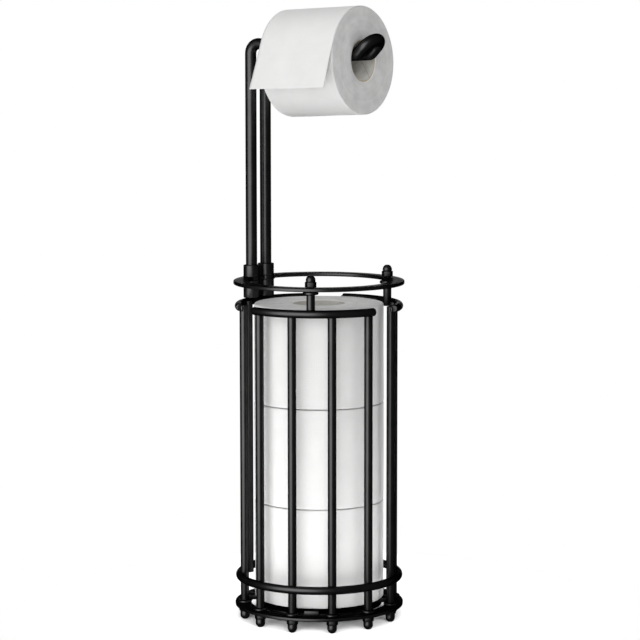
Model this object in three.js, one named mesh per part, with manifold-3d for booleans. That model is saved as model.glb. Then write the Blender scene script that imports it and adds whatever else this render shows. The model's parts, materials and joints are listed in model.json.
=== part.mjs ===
// Free-standing toilet paper holder: a round rod basket stores three spare rolls, and a hairpin arm
// plugged into the basket's rim carries the roll in use above it.
// Millimetres, +Z up. The origin is on the floor at the basket's centre, and -Y is the front.
// An azimuth is in degrees, from the front towards +X.
import * as THREE from 'three';
import { mergeVertices } from 'three/addons/utils/BufferGeometryUtils.js';
import Module from 'manifold-3d';

const wasm = await Module();
wasm.setup();

// ---- driving dimensions ------------------------------------------------------------------------
const GAP = 0.3; // air between pieces that touch, are welded or are screwed together

// Paper rolls
const SPARE_ROLL_R = 67;
const SPARE_ROLL_WIDTH = 102.3;
const SPARE_ROLL_COUNT = 3;
const SPARE_CORE_BORE_R = 26;
const HUNG_ROLL_R = 54.66;
const HUNG_ROLL_WIDTH = 91.1;
const CORE_WALL = 1;
const CORE_INSET = 0.6; // how far a core's end stays inside the paper's end
const ROLL_EDGE = 1.6; // chamfer on a roll's outer edge
const TAIL_THICKNESS = 0.6;
const TAIL_WRAP = 50; // degrees of the hung roll that the loose tail still lies on
const TAIL_LEAVES_AT = 25; // degrees above the roll's side where the tail leaves it
const TAIL_DROP = 53.2; // length of the tail that hangs free

// Basket rods
const ROD_R = 4.33;
const ROD_COUNT = 12;
const RODS_PER_PANEL = 4;
const FIRST_ROD_AZ = -50.4;
const BASKET_CLEARANCE = 7.1; // between the spare rolls and the rods
const STUD_THREAD_R = 3; // threaded ends of the rods and studs
const FRONT_STUD_SKEW = -0.65; // degrees that the front stud stands off its arc's middle

// Rings, in order from the floor
const FOOT_HEIGHT = 13.7; // floor to the base ring's underside
const BASE_RING_T = 3.2;
const BASE_RING_IN = 7.4; // from the rod circle to the base ring's inner edge
const BASE_RING_OUT = 9.1;
const WIRE_R = 4.15; // wire of the lower ring and of the upper arcs
const WIRE_OFFSET = 4.4; // from the rod circle out to the wire's centre
const LOWER_RING_Z = 45;
const ARC_Z = 326.8; // wire centre of the upper arcs
const ARC_END_AZ = 2.7; // how far an arc runs past its panel's outer rods
const ROD_INTO_ARC = 1.8; // how far a rod's top stands above the arc's centre
const TOP_RING_RISE = 22.7; // arc centre to the top ring's underside
const TOP_RING_T = 3.7;
const TOP_RING_IN = 5.2;
const TOP_RING_OUT = 9.8;

// Nuts, flanges and sleeves
const FOOT_NUT = { height: 13.4, hexHeight: 4.9, hexR: 6, domeR: 4.9 };
const TOP_NUT = { height: 12.1, hexHeight: 5.6, hexR: 6, domeR: 4.9 };
const NUT_FLAT_R = 1.9; // small flat at the end of a cap nut's dome
const NUT_ROOF = 4.6; // material above a cap nut's thread
const FOOT_FLANGE = { r: 7.2, height: 3 };
const STUD_FLANGE = { r: 7.9, height: 3 };
const FLANGE_EDGE = 0.7;
const SLEEVE_WALL = 2.35;
const SLEEVE_PROUD = 12.4; // height of a sleeve above the top ring
const SLEEVE_EDGE = 0.8;

// Seat under the spare rolls
const SEAT_BAR = { width: 15, height: 4.8, lap: 4 }; // lap: on the base ring
const SEAT_R = 65.5;
const SEAT_T = 2.3;
const SEAT_HOLE_R = 18;

// Hairpin arm
const POST_R = 5.885;
const POST_SPACING = 24.72; // between the two legs' centres
const POST_LIFT = 0.6; // leg end above the arc that stops it
const ARM_YAW = -0.3; // the arm points this far beside the basket's centre line
const BEND_Z = 584.9; // where the legs start to bend over
const BEND_R = 10;
const NECK_R = 16.5; // the two bends that lower the arm behind the roll
const NECK_TURN = 55.8;
const ARM_RISE = 2.4; // degrees that the arm climbs towards its tip
const ARM_RUN = 92.8; // straight length that the roll hangs on
const TIP_R = 7.7;
const TIP_TURN = 42.4;
const TIP_RUN = 6.5;
const HANG_DROP = 5.92; // the hung roll's axis below the arm's centre
const CORE_SLACK = 0.8; // between the arm and the inside of the core
const ROLL_STAND_OFF = 42.2; // posts to the hung roll's end beside them

// Fineness of the faceted surfaces
const RING_SEGMENTS = 60;
const ROLL_SEGMENTS = 40;
const CORE_SEGMENTS = 24;
const ROUND_SEGMENTS = 12;
const WIRE_SIDES = 8;

// ---- sizes that follow -------------------------------------------------------------------------
const ROD_CIRCLE_R = SPARE_ROLL_R + BASKET_CLEARANCE + ROD_R;
const ROD_STEP = 360 / ROD_COUNT;
const PANEL_COUNT = ROD_COUNT / RODS_PER_PANEL;
const PANEL_STEP = 360 / PANEL_COUNT;
const PANEL_SPAN = ROD_STEP * (RODS_PER_PANEL - 1);
const WIRE_CIRCLE_R = ROD_CIRCLE_R + WIRE_OFFSET;
const BASE_TOP_Z = FOOT_HEIGHT + BASE_RING_T;
const TOP_RING_Z = ARC_Z + TOP_RING_RISE;
const TOP_RING_TOP_Z = TOP_RING_Z + TOP_RING_T;
const ARC_TOP_Z = ARC_Z + WIRE_R;
const SEAT_BAR_Z = BASE_TOP_Z + GAP;
const SEAT_Z = BASE_TOP_Z - SEAT_T;
const STACK_Z = SEAT_BAR_Z + SEAT_BAR.height + GAP;
const SLEEVE_R = POST_R + GAP + SLEEVE_WALL;
const HUNG_CORE_BORE_R = Math.hypot(POST_SPACING / 2, HANG_DROP) + POST_R + CORE_SLACK;

// The front and right panels carry a stud; the left-back panel carries the two posts.
const POST_PANEL = 2;
const panelAzimuth = (panel) => FIRST_ROD_AZ + PANEL_SPAN / 2 + PANEL_STEP * panel;
const STUD_AZIMUTHS = [panelAzimuth(0) + FRONT_STUD_SKEW, panelAzimuth(1)];
const POST_AZ = panelAzimuth(POST_PANEL);
const ARM_AZ = POST_AZ - 180 + ARM_YAW;
const POST_MIDDLE_R = Math.sqrt(ROD_CIRCLE_R ** 2 - (POST_SPACING / 2) ** 2);

// ---- materials ---------------------------------------------------------------------------------
const blackMetal = () =>
  new THREE.MeshStandardMaterial({ color: 0x151515, roughness: 0.38, metalness: 0.35 });
const paper = () =>
  new THREE.MeshStandardMaterial({ color: 0xf4f3f0, roughness: 0.95, metalness: 0 });
const cardboard = () =>
  new THREE.MeshStandardMaterial({ color: 0xb9b4a6, roughness: 0.9, metalness: 0 });

// ---- geometry helpers --------------------------------------------------------------------------
const rad = THREE.MathUtils.degToRad;
const at = (r, azimuth, z) =>
  new THREE.Vector3(r * Math.sin(rad(azimuth)), -r * Math.cos(rad(azimuth)), z);

// A closed profile of [radius, height] pairs turned about +Z.
function turned(profile, segments) {
  const points = profile.map(([r, z]) => new THREE.Vector2(r, z));
  return new THREE.LatheGeometry(points, segments).rotateX(Math.PI / 2);
}

const tubeProfile = (rIn, rOut, z0, z1) => [
  [rIn, z0], [rOut, z0], [rOut, z1], [rIn, z1], [rIn, z0],
];
const discProfile = (r, z0, z1) => [[0, z0], [r, z0], [r, z1], [0, z1]];

// A route given by stations, each with its point and heading, close together only where it bends.
class RouteCurve extends THREE.Curve {
  constructor(stations) {
    super();
    this.stations = stations;
  }
  station(u) {
    return this.stations[Math.round(u * (this.stations.length - 1))];
  }
  getPoint(u) {
    return this.station(u).point.clone();
  }
  getPointAt(u) {
    return this.getPoint(u);
  }
  getTangentAt(u) {
    return this.station(u).heading.clone().normalize();
  }
}

// A round bar of radius r along a route.
function tube(route, r, sides) {
  const circle = new THREE.Shape(
    Array.from({ length: sides }, (_, i) => {
      const turn = (2 * Math.PI * i) / sides;
      return new THREE.Vector2(r * Math.cos(turn), r * Math.sin(turn));
    }),
  );
  const steps = route.stations.length - 1;
  return new THREE.ExtrudeGeometry(circle, { steps, extrudePath: route, bevelEnabled: false });
}

// A wire bent round the vertical axis at height z, whole or from azimuth a to azimuth b.
function wire(ringR, wireR, z, a = 0, b = 360) {
  const whole = b - a >= 360;
  const steps = Math.round((RING_SEGMENTS * (b - a)) / 360);
  if (whole) {
    return new THREE.TorusGeometry(ringR, wireR, WIRE_SIDES, steps).translate(0, 0, z);
  }
  const path = new RouteCurve(
    Array.from({ length: steps + 1 }, (_, i) => {
      const azimuth = a + ((b - a) * i) / steps;
      return { point: at(ringR, azimuth, z), heading: at(1, azimuth + 90, 0) };
    }),
  );
  return tube(path, wireR, WIRE_SIDES);
}

// Geometry to solid: shared vertices merged, needle triangles dropped, faces turned outwards.
function solid(geometry) {
  const bare = geometry.clone();
  bare.deleteAttribute('normal');
  bare.deleteAttribute('uv');
  const merged = mergeVertices(bare, 1e-4);
  const position = merged.attributes.position.array;
  const triangles = [];
  for (let i = 0; i < merged.index.count; i += 3) {
    const [a, b, c] = [0, 1, 2].map((k) => merged.index.array[i + k]);
    if (a !== b && b !== c && c !== a) triangles.push([a, b, c]);
  }
  const corner = (i) => new THREE.Vector3().fromArray(position, 3 * i);
  const volume = triangles.reduce(
    (sum, [a, b, c]) => sum + corner(a).dot(corner(b).cross(corner(c))),
    0,
  );
  const outward = volume < 0 ? triangles.map(([a, b, c]) => [a, c, b]) : triangles;
  return new wasm.Manifold(
    new wasm.Mesh({
      numProp: 3,
      vertProperties: new Float32Array(position),
      triVerts: new Uint32Array(outward.flat()),
    }),
  );
}

function toGeometry(manifold) {
  const mesh = manifold.getMesh();
  const geometry = new THREE.BufferGeometry();
  geometry.setAttribute('position', new THREE.BufferAttribute(mesh.vertProperties, 3));
  geometry.setIndex(new THREE.BufferAttribute(mesh.triVerts, 1));
  geometry.computeVertexNormals();
  return geometry;
}

// The first geometry with all the others cut away from it.
function cut(body, cutters) {
  return toGeometry(cutters.reduce((left, cutter) => left.subtract(solid(cutter)), solid(body)));
}

const join = (geometries) =>
  toGeometry(geometries.map(solid).reduce((sum, next) => sum.add(next)));

// Upright round cutters at a list of points.
const cutters = (points, r, z0, z1) =>
  points.map((p) => turned(discProfile(r, z0, z1), ROUND_SEGMENTS).translate(p.x, p.y, 0));

// ---- the group ---------------------------------------------------------------------------------
const holder = new THREE.Group();

function place(name, geometry, material, position = new THREE.Vector3()) {
  const mesh = new THREE.Mesh(geometry, material);
  mesh.name = name;
  mesh.position.copy(position);
  holder.add(mesh);
  return mesh;
}

// ---- where rods, studs and posts stand ---------------------------------------------------------
const rods = Array.from({ length: ROD_COUNT }, (_, i) => {
  const azimuth = FIRST_ROD_AZ + ROD_STEP * i;
  const panel = Math.floor(i / RODS_PER_PANEL);
  const inner = i % RODS_PER_PANEL !== 0 && i % RODS_PER_PANEL !== RODS_PER_PANEL - 1;
  return {
    name: `rod_${String(i + 1).padStart(2, '0')}`,
    place: at(ROD_CIRCLE_R, azimuth, 0),
    // the two inner rods below the posts stop at the lower ring
    reachesFloor: !(panel === POST_PANEL && inner),
  };
});
const footedRods = rods.filter((rod) => rod.reachesFloor);
const studs = STUD_AZIMUTHS.map((azimuth) => at(ROD_CIRCLE_R, azimuth, 0));
const armDirection = at(1, ARM_AZ, 0);
const armSide = at(1, ARM_AZ - 90, 0);
const postMiddle = at(POST_MIDDLE_R, POST_AZ, 0);
const posts = [-0.5, 0.5].map((share) =>
  postMiddle.clone().addScaledVector(armSide, share * POST_SPACING),
);

// ---- basket ------------------------------------------------------------------------------------
// A rod: plain shank, with a thinner threaded end through the base ring and into its cap nut.
function rodGeometry(reachesFloor) {
  const top = ARC_Z + ROD_INTO_ARC;
  if (!reachesFloor) {
    return turned(discProfile(ROD_R, LOWER_RING_Z - WIRE_R, top), ROUND_SEGMENTS);
  }
  const shoulder = BASE_TOP_Z + FOOT_FLANGE.height + 2 * GAP;
  const tip = NUT_ROOF + GAP;
  const profile = [
    [0, tip], [STUD_THREAD_R, tip], [STUD_THREAD_R, shoulder],
    [ROD_R, shoulder], [ROD_R, top], [0, top],
  ];
  return turned(profile, ROUND_SEGMENTS);
}

// A round flange with a hole for the threaded end, its outer edges chamfered.
function flangeGeometry({ r, height }) {
  const hole = STUD_THREAD_R + GAP;
  const profile = [
    [hole, 0], [r - 2 * FLANGE_EDGE, 0], [r, 2 * FLANGE_EDGE], [r, height - FLANGE_EDGE],
    [r - FLANGE_EDGE, height], [hole, height], [hole, 0],
  ];
  return turned(profile, ROUND_SEGMENTS);
}

// A cap nut, mouth down at z = 0 and dome up: hexagon below, dome above, blind threaded hole.
function capNutGeometry({ height, hexHeight, hexR, domeR }) {
  const hex = turned(discProfile(hexR, 0, hexHeight), 6);
  const domeSteps = 3;
  const domeZ = height - domeR;
  const flatAngle = Math.acos(NUT_FLAT_R / domeR);
  const dome = [[0, hexHeight / 2], [domeR, hexHeight / 2]];
  for (let i = 0; i <= domeSteps; i += 1) {
    const angle = (flatAngle * i) / domeSteps;
    const lift = (Math.sin(angle) / Math.sin(flatAngle)) * domeR;
    dome.push([domeR * Math.cos(angle), domeZ + lift]);
  }
  dome.push([0, height]);
  const bore = turned(discProfile(STUD_THREAD_R + GAP, -1, height - NUT_ROOF), ROUND_SEGMENTS);
  return cut(join([hex, turned(dome, ROUND_SEGMENTS)]), [bore]);
}

function buildBaseRing() {
  const ring = turned(
    tubeProfile(ROD_CIRCLE_R - BASE_RING_IN, ROD_CIRCLE_R + BASE_RING_OUT, FOOT_HEIGHT, BASE_TOP_Z),
    RING_SEGMENTS,
  );
  const holes = cutters(footedRods.map((rod) => rod.place), STUD_THREAD_R + GAP, 0, ARC_Z);
  place('base_ring', cut(ring, holes), blackMetal());
}

function buildRods() {
  for (const rod of rods) {
    place(rod.name, rodGeometry(rod.reachesFloor), blackMetal(), rod.place);
  }
  footedRods.forEach((rod) => {
    const flangePlace = rod.place.clone().setZ(BASE_TOP_Z + GAP);
    place(`flange_of_${rod.name}`, flangeGeometry(FOOT_FLANGE), blackMetal(), flangePlace);
    const foot = place(`foot_of_${rod.name}`, capNutGeometry(FOOT_NUT), blackMetal(), rod.place);
    foot.rotation.x = Math.PI;
    foot.position.z = FOOT_HEIGHT - GAP;
  });
}

// The lower ring is notched over each rod, as the weld sinks the wires into each other.
function buildLowerRing() {
  const notches = cutters(rods.map((rod) => rod.place), ROD_R + GAP, 0, ARC_Z);
  const ring = wire(WIRE_CIRCLE_R, WIRE_R, LOWER_RING_Z);
  place('lower_wire_ring', cut(ring, notches), blackMetal());
}

// One arc ties the tops of the four rods of each panel, and is notched over them and the studs.
function buildArcs() {
  const names = ['front_arc', 'right_arc', 'left_arc'];
  const rodNotches = cutters(rods.map((rod) => rod.place), ROD_R + GAP, 0, ARC_Z + ROD_INTO_ARC + GAP);
  const studNotches = cutters(studs, ROD_R + GAP, 0, TOP_RING_Z);
  for (let panel = 0; panel < PANEL_COUNT; panel += 1) {
    const reach = PANEL_SPAN / 2 + ARC_END_AZ;
    const middle = panelAzimuth(panel);
    const arc = wire(WIRE_CIRCLE_R, WIRE_R, ARC_Z, middle - reach, middle + reach);
    place(names[panel], cut(arc, [...rodNotches, ...studNotches]), blackMetal());
  }
}

// Two studs lift the top ring off the arcs, each with a flange below the ring and a cap nut above.
function buildStuds() {
  const names = ['front', 'right'];
  const shoulder = TOP_RING_Z - STUD_FLANGE.height - 2 * GAP;
  const tip = TOP_RING_TOP_Z + GAP + TOP_NUT.height - NUT_ROOF - GAP;
  const profile = [
    [0, ARC_Z - WIRE_R], [ROD_R, ARC_Z - WIRE_R], [ROD_R, shoulder],
    [STUD_THREAD_R, shoulder], [STUD_THREAD_R, tip], [0, tip],
  ];
  studs.forEach((stud, i) => {
    place(`${names[i]}_stud`, turned(profile, ROUND_SEGMENTS), blackMetal(), stud);
    const flangePlace = stud.clone().setZ(shoulder + GAP);
    place(`${names[i]}_stud_flange`, flangeGeometry(STUD_FLANGE), blackMetal(), flangePlace);
    const nutPlace = stud.clone().setZ(TOP_RING_TOP_Z + GAP);
    place(`${names[i]}_cap_nut`, capNutGeometry(TOP_NUT), blackMetal(), nutPlace);
  });
}

function buildTopRing() {
  const ring = turned(
    tubeProfile(ROD_CIRCLE_R - TOP_RING_IN, ROD_CIRCLE_R + TOP_RING_OUT, TOP_RING_Z, TOP_RING_TOP_Z),
    RING_SEGMENTS,
  );
  const holes = [
    ...cutters(studs, STUD_THREAD_R + GAP, ARC_Z, TOP_RING_TOP_Z + 1),
    ...cutters(posts, SLEEVE_R + GAP, ARC_Z, TOP_RING_TOP_Z + 1),
  ];
  place('top_ring', cut(ring, holes), blackMetal());
}

// A sleeve stands on the left arc, passes through the top ring and holds one leg of the arm.
function buildSleeves() {
  const z0 = ARC_TOP_Z + GAP;
  const z1 = TOP_RING_TOP_Z + SLEEVE_PROUD;
  const bore = POST_R + GAP;
  const profile = [
    [bore, z0], [SLEEVE_R, z0], [SLEEVE_R, z1 - SLEEVE_EDGE], [SLEEVE_R - SLEEVE_EDGE, z1],
    [bore, z1], [bore, z0],
  ];
  posts.forEach((post, i) => {
    place(['rear_sleeve', 'front_sleeve'][i], turned(profile, ROUND_SEGMENTS), blackMetal(), post);
  });
}

// The rolls stand on a cross of two bars that lie on the base ring. A disc under the cross, level
// with the ring, closes the bottom.
function buildSeat() {
  const reach = ROD_CIRCLE_R - BASE_RING_IN + SEAT_BAR.lap;
  const bar = (azimuth) =>
    new THREE.BoxGeometry(SEAT_BAR.width, 2 * reach, SEAT_BAR.height)
      .translate(0, 0, SEAT_BAR_Z + SEAT_BAR.height / 2)
      .rotateZ(rad(azimuth));
  const front = panelAzimuth(0);
  place('seat_cross', join([bar(front), bar(front + 90)]), blackMetal());
  const disc = tubeProfile(SEAT_HOLE_R, SEAT_R, SEAT_Z, SEAT_Z + SEAT_T);
  place('seat_disc', turned(disc, ROLL_SEGMENTS), blackMetal());
}

// ---- hairpin arm -------------------------------------------------------------------------------
// The arm's side view as stations of distance from the posts, height and heading. Both legs follow
// it, and the tip's half turn joins them. The roll hangs on the run after `straight`.
function armSideView() {
  const stations = [];
  let t = 0;
  let z = ARC_TOP_Z + GAP + POST_LIFT;
  let heading = 90;
  const mark = () => stations.push({ t, z, heading });
  const run = (length) => {
    t += length * Math.cos(rad(heading));
    z += length * Math.sin(rad(heading));
    mark();
  };
  const bend = (radius, turn, steps) => {
    const side = Math.sign(turn);
    for (let i = 0; i < steps; i += 1) {
      const next = heading + turn / steps;
      t += side * radius * (Math.sin(rad(next)) - Math.sin(rad(heading)));
      z -= side * radius * (Math.cos(rad(next)) - Math.cos(rad(heading)));
      heading = next;
      mark();
    }
  };
  mark();
  run(BEND_Z - z);
  bend(BEND_R, -90, 6);
  bend(NECK_R, -NECK_TURN, 4);
  bend(NECK_R, NECK_TURN + ARM_RISE, 4);
  const straight = { t, z };
  run(ARM_RUN);
  bend(TIP_R, TIP_TURN, 4);
  run(TIP_RUN);
  return { stations, straight };
}

const sideView = armSideView();
const onArm = ({ t, z }) => postMiddle.clone().addScaledVector(armDirection, t).setZ(z);
const armHeading = (heading) =>
  armDirection.clone().multiplyScalar(Math.cos(rad(heading))).setZ(Math.sin(rad(heading)));

function armGeometry() {
  const half = POST_SPACING / 2;
  const leg = (side) =>
    sideView.stations.map((station) => ({
      point: onArm(station).addScaledVector(armSide, side * half),
      heading: armHeading(station.heading).multiplyScalar(-side),
    }));
  const last = sideView.stations[sideView.stations.length - 1];
  const forward = armHeading(last.heading);
  const steps = 10;
  const tip = Array.from({ length: steps - 1 }, (_, i) => {
    const turn = (Math.PI * (i + 1)) / steps;
    return {
      point: onArm(last).addScaledVector(forward, half * Math.sin(turn))
        .addScaledVector(armSide, -half * Math.cos(turn)),
      heading: forward.clone().multiplyScalar(Math.cos(turn))
        .addScaledVector(armSide, Math.sin(turn)),
    };
  });
  return tube(new RouteCurve([...leg(-1), ...tip, ...leg(1).reverse()]), POST_R, ROUND_SEGMENTS);
}

// ---- paper -------------------------------------------------------------------------------------
const coreProfile = (boreR, width) =>
  tubeProfile(boreR, boreR + CORE_WALL, CORE_INSET, width - CORE_INSET);

function rollProfile(r, width, boreR) {
  const hole = boreR + CORE_WALL + GAP;
  return [
    [hole, 0], [r - ROLL_EDGE, 0], [r, ROLL_EDGE], [r, width - ROLL_EDGE],
    [r - ROLL_EDGE, width], [hole, width], [hole, 0],
  ];
}

function buildSpareRolls() {
  const names = ['bottom', 'middle', 'top'];
  for (let i = 0; i < SPARE_ROLL_COUNT; i += 1) {
    const foot = new THREE.Vector3(0, 0, STACK_Z + i * (SPARE_ROLL_WIDTH + GAP));
    const roll = rollProfile(SPARE_ROLL_R, SPARE_ROLL_WIDTH, SPARE_CORE_BORE_R);
    place(`${names[i]}_spare_roll`, turned(roll, ROLL_SEGMENTS), paper(), foot);
    const core = coreProfile(SPARE_CORE_BORE_R, SPARE_ROLL_WIDTH);
    place(`${names[i]}_spare_core`, turned(core, CORE_SEGMENTS), cardboard(), foot);
  }
}

// The hung roll's own frame: the origin is its axis at the end by the arm's tip, +Z runs back along
// the arm, +X points to the side where the tail hangs and +Y is up.
function hungFrame() {
  const forward = armHeading(ARM_RISE);
  const side = new THREE.Vector3().crossVectors(forward, new THREE.Vector3(0, 0, 1)).normalize();
  const up = new THREE.Vector3().crossVectors(side, forward);
  const along = (ROLL_STAND_OFF - sideView.straight.t) / Math.cos(rad(ARM_RISE)) + HUNG_ROLL_WIDTH;
  const origin = onArm(sideView.straight).addScaledVector(forward, along)
    .addScaledVector(up, -HANG_DROP);
  return new THREE.Matrix4().makeBasis(side, up, forward.negate()).setPosition(origin);
}

// The tail lies on the roll for TAIL_WRAP degrees, then leaves it in a straight line.
function tailGeometry() {
  const inner = HUNG_ROLL_R + GAP;
  const outer = inner + TAIL_THICKNESS;
  const polar = (r, degrees) => new THREE.Vector2(r * Math.cos(rad(degrees)), r * Math.sin(rad(degrees)));
  const steps = 6;
  const arc = (r) =>
    Array.from({ length: steps + 1 }, (_, i) =>
      polar(r, TAIL_LEAVES_AT + TAIL_WRAP - (TAIL_WRAP * i) / steps),
    );
  const down = polar(TAIL_DROP, TAIL_LEAVES_AT - 90);
  const end = (r) => polar(r, TAIL_LEAVES_AT).add(down);
  const outline = [...arc(outer), end(outer), end(inner), ...arc(inner).reverse()];
  return new THREE.ExtrudeGeometry(new THREE.Shape(outline), {
    depth: HUNG_ROLL_WIDTH, steps: 1, bevelEnabled: false,
  });
}

function buildHungRoll() {
  const frame = hungFrame();
  const put = (name, geometry, material) => place(name, geometry, material).applyMatrix4(frame);
  const roll = rollProfile(HUNG_ROLL_R, HUNG_ROLL_WIDTH, HUNG_CORE_BORE_R);
  put('hung_roll', turned(roll, ROLL_SEGMENTS), paper());
  const core = coreProfile(HUNG_CORE_BORE_R, HUNG_ROLL_WIDTH);
  put('hung_core', turned(core, CORE_SEGMENTS), cardboard());
  put('paper_tail', tailGeometry(), paper());
}

// ---- build -------------------------------------------------------------------------------------
buildBaseRing();
buildRods();
buildLowerRing();
buildArcs();
buildStuds();
buildTopRing();
buildSleeves();
buildSeat();
place('hairpin_arm', armGeometry(), blackMetal());
buildSpareRolls();
buildHungRoll();

export default holder;
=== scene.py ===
# %% [markdown]
# # A rod basket for spare paper rolls, with a hairpin arm for the roll in use
#
# The mechanical model comes in as a fixed frame: every rod, ring, nut and roll is already in its
# place, but faceted and bare. This script builds the smooth, finished object around it. Each new
# piece takes its place and size from the part of the frame that it stands for, and rides on the
# same body, so that it moves as the real piece does.

import json
import math

import bmesh
import bpy
from mathutils import Matrix, Vector, noise


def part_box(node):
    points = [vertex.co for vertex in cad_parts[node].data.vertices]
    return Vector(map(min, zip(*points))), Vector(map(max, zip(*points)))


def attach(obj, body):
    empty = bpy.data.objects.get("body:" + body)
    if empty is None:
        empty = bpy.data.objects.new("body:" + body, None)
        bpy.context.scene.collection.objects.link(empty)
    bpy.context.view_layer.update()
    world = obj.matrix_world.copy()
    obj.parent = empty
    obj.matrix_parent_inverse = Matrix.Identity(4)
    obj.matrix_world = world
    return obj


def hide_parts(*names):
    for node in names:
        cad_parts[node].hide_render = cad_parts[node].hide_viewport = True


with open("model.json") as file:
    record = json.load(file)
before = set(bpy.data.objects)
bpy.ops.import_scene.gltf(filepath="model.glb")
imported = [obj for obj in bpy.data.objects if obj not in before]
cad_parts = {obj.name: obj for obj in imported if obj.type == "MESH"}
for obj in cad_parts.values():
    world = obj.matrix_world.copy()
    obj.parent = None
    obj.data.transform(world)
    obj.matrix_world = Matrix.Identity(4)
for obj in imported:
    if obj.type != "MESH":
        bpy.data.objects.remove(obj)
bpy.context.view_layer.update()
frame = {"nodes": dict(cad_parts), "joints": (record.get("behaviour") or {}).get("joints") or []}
joints = {joint["name"]: joint for joint in frame["joints"]}
scene = bpy.context.scene

# %% [markdown]
# ## Sizes
#
# Blender works in metres here, so the workshop sizes are written in millimetres times MM. Most
# sizes are read from the frame's own boxes. The ones below can't be read from a box: radii of
# bends, thicknesses of paper and the inner edges of rings.

# %% Sizes that no box gives
MM = 0.001
UP = Vector((0, 0, 1))

RING_INNER_R = {"base_ring": 71.03 * MM, "top_ring": 73.23 * MM}
ROD_R = 4.33 * MM
WIRE_R = 4.15 * MM
POST_R = 5.885 * MM
POST_SPACING = 24.72 * MM
SPARE_BORE_R = 26 * MM
HUNG_BORE_R = 20.39 * MM
HUNG_R = 54.66 * MM
HUNG_WIDTH = 91.1 * MM
CORE_WALL = 1 * MM
SLIDE_GAP = 0.3 * MM  # between a leg of the arm and its sleeve


def low(node):
    return Vector(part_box(node)[0])


def high(node):
    return Vector(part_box(node)[1])


def middle(node):
    return (low(node) + high(node)) / 2


def radius_of(node):
    """Half of the wider horizontal side of a node's box: the radius of anything round and upright."""
    size = high(node) - low(node)
    return max(size.x, size.y) / 2


def height_of(node):
    return high(node).z - low(node).z


for ring in RING_INNER_R:
    print(f"{ring}: outer radius {radius_of(ring) / MM:.1f} mm, inner {RING_INNER_R[ring] / MM:.1f} mm")

# %% [markdown]
# ## Finishes
#
# A finish is a small network of nodes. Each one starts from coordinates, makes patterns at the
# real scale with noise or arithmetic, and feeds them to roughness, colour and bump. A value that
# is the same all over is typed straight into the shader's own socket.

# %% Helpers for node networks


def new_finish(name):
    """An empty material with a Principled shader wired to its output."""
    finish = bpy.data.materials.new(name)
    finish.use_nodes = True
    tree = finish.node_tree
    tree.nodes.clear()
    output = tree.nodes.new("ShaderNodeOutputMaterial")
    shader = tree.nodes.new("ShaderNodeBsdfPrincipled")
    tree.links.new(shader.outputs["BSDF"], output.inputs["Surface"])
    return finish, tree, shader


def add(tree, kind, links=None, **settings):
    """A node of that kind; settings are its properties or input values, links are sockets to plug in."""
    node = tree.nodes.new("ShaderNode" + kind)
    for key, value in settings.items():
        if hasattr(node, key):
            setattr(node, key, value)
        else:
            node.inputs[key.replace("_", " ")].default_value = value
    for key, socket in (links or {}).items():
        tree.links.new(socket, node.inputs[key])
    return node


def calc(tree, operation, a, b=0.0, c=0.0):
    """One step of arithmetic on sockets or numbers."""
    node = tree.nodes.new("ShaderNodeMath")
    node.operation = operation
    for slot, value in enumerate((a, b, c)):
        if isinstance(value, bpy.types.NodeSocket):
            tree.links.new(value, node.inputs[slot])
        else:
            node.inputs[slot].default_value = value
    return node.outputs[0]


def ramp(tree, value, *stops):
    """A colour ramp through (position, grey or colour) stops."""
    node = tree.nodes.new("ShaderNodeValToRGB")
    tree.links.new(value, node.inputs["Fac"])
    while len(node.color_ramp.elements) < len(stops):
        node.color_ramp.elements.new(0.5)
    for element, (position, colour) in zip(node.color_ramp.elements, stops):
        element.position = position
        element.color = (colour,) * 3 + (1,) if isinstance(colour, float) else (*colour, 1)
    return node.outputs["Color"]


def bump(tree, shader, height, distance, strength):
    node = add(tree, "Bump", {"Height": height}, Distance=distance, Strength=strength)
    tree.links.new(node.outputs["Normal"], shader.inputs["Normal"])
    return node


# %% [markdown]
# ### Black powder coat
#
# The metal is sprayed with a black powder that melts into a satin skin. Up close it has an
# orange-peel surface about a millimetre across, and broad patches that are a little glossier than
# others. The shader is set to metallic with a very dark base, so that all of the look comes from
# soft reflections. A nearly black specular tint stops the rims from turning grey where the light
# only grazes them, as it would on a clear varnish.

# %% Black powder coat


def powder_coat():
    finish, tree, shader = new_finish("black powder coat")
    place = add(tree, "TexCoord").outputs["Object"]
    patches = add(tree, "TexNoise", {"Vector": place}, Scale=55.0, Detail=3.0)
    peel = add(tree, "TexNoise", {"Vector": place}, Scale=900.0, Detail=2.0)
    grit = add(tree, "TexNoise", {"Vector": place}, Scale=3200.0, Detail=1.0)
    rough = add(tree, "MapRange", {"Value": patches.outputs["Fac"]}, From_Min=0.3, From_Max=0.7,
                To_Min=0.32, To_Max=0.39)
    tree.links.new(rough.outputs[0], shader.inputs["Roughness"])
    colour = ramp(tree, patches.outputs["Fac"], (0.3, (0.036, 0.036, 0.037)),
                  (0.7, (0.046, 0.0455, 0.0455)))
    tree.links.new(colour, shader.inputs["Base Color"])
    relief = calc(tree, "MULTIPLY_ADD", grit.outputs["Fac"], 0.3, peel.outputs["Fac"])
    bump(tree, shader, relief, 0.00004, 0.3)
    shader.inputs["Metallic"].default_value = 1.0
    shader.inputs["Specular Tint"].default_value = (0.03, 0.03, 0.03, 1)
    return finish


BLACK = powder_coat()

# %% [markdown]
# ### Tissue
#
# Wound tissue shows two different faces. Round the side it is a sheet: slightly fuzzy, embossed
# with a fine pattern, and crossed by rows of perforation. On its ends it is a stack of hundreds of
# cut edges, which catch less light and show as fine rings with cloudy patches where the sheets
# were pressed together; the rings and bands that sink are also painted darker, as painted shade in
# the grooves. Both follow a UV map that is measured in metres: along the winding and across it on
# the side, and outwards from the core on the ends.

# %% Tissue, side and end

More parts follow.
